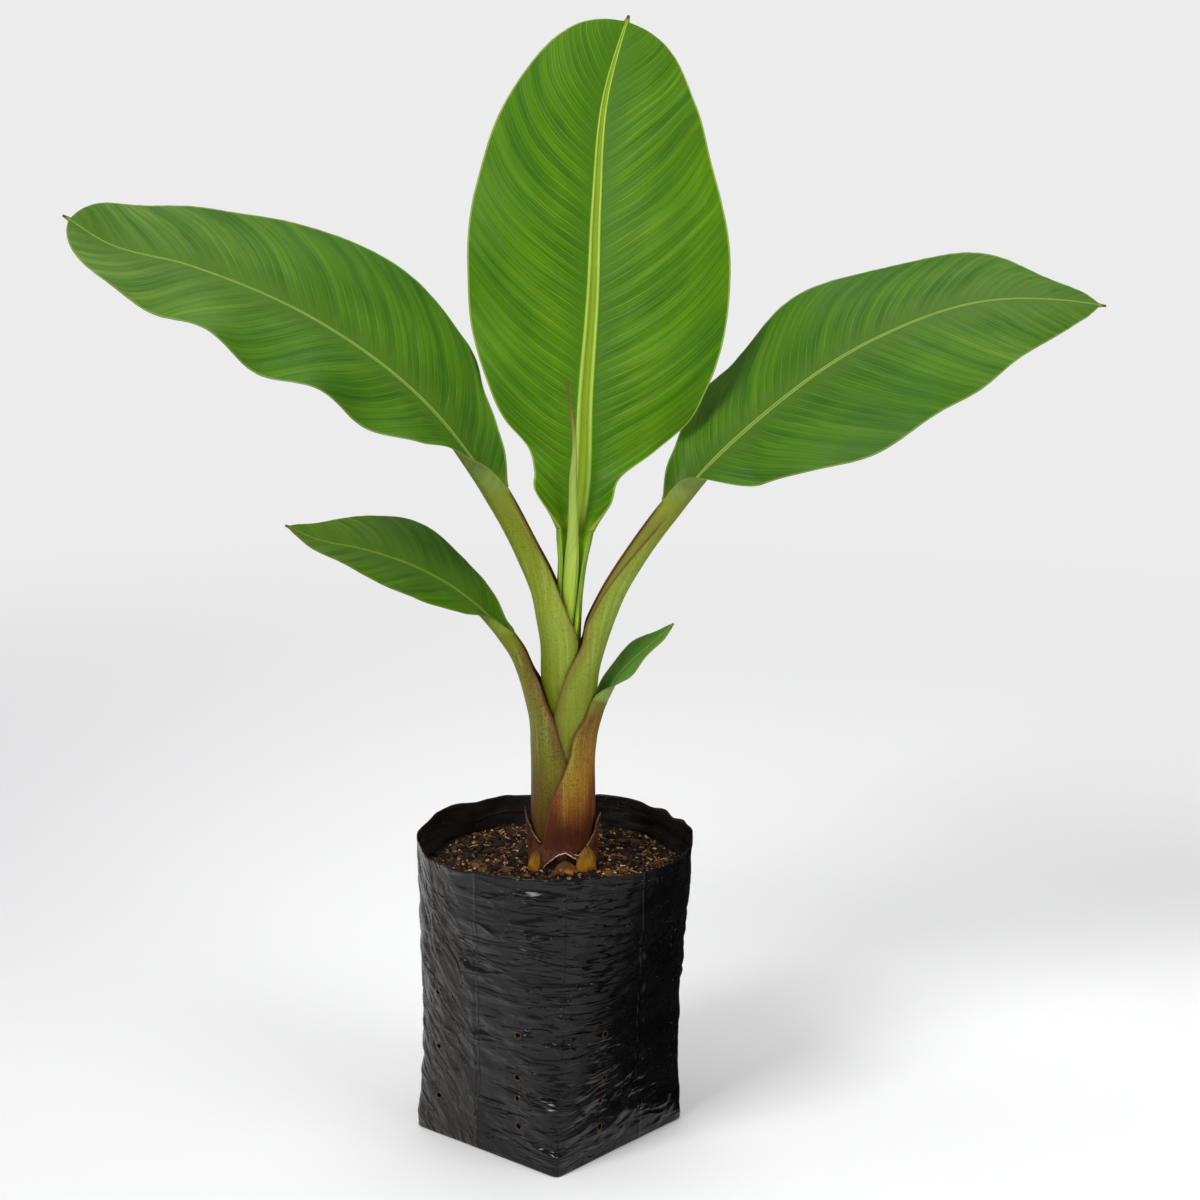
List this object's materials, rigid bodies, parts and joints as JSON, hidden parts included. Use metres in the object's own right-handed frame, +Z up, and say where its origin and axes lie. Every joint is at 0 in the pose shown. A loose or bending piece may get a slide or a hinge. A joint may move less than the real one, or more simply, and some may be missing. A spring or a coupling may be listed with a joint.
{
  "type": "banana plant",
  "caption": "Young potted banana plant: overlapping leaf sheaths form a short pseudostem that carries spreading paddle leaves and a rolled spear leaf, in a black film nursery bag.",
  "frame": {"origin": "centre of the bag's flat underside, on the surface the plant stands on", "axes": "+Z up; -Y is the front; +X is to the right seen from the front, on the side of the shorter side leaf"},
  "size_m": [0.5347, 0.1839, 0.5942],
  "materials": {
    "bag_film": "glossy, crinkled black film",
    "potting_mix": "rough dark fibrous mix with tan specks",
    "pseudostem": "satin, fibrous",
    "dry_sheath": "matte, dry and torn",
    "sucker_bud": "satin orange-brown",
    "leaf_stalk": "satin olive green with fine streaks",
    "leaf_blade": "waxy green with parallel veins",
    "rolled_leaf": "waxy pale green with a dry brown thread at its tip"
  },
  "bodies": {
    "root": {"basal_sheath": "dry_sheath", "centre_leaf_blade": "leaf_blade", "centre_leaf_stalk": "leaf_stalk", "front_sucker_bud": "sucker_bud", "grow_bag": "bag_film", "left_leaf_blade": "leaf_blade", "left_leaf_stalk": "leaf_stalk", "left_sucker_bud": "sucker_bud", "lower_left_leaf_blade": "leaf_blade", "lower_left_leaf_stalk": "leaf_stalk", "lower_right_leaf_blade": "leaf_blade", "lower_right_leaf_stalk": "leaf_stalk", "potting_mix": "potting_mix", "pseudostem": "pseudostem", "right_leaf_blade": "leaf_blade", "right_leaf_stalk": "leaf_stalk", "right_sucker_bud": "sucker_bud", "spear_leaf": "rolled_leaf"}
  },
  "joints": []
}
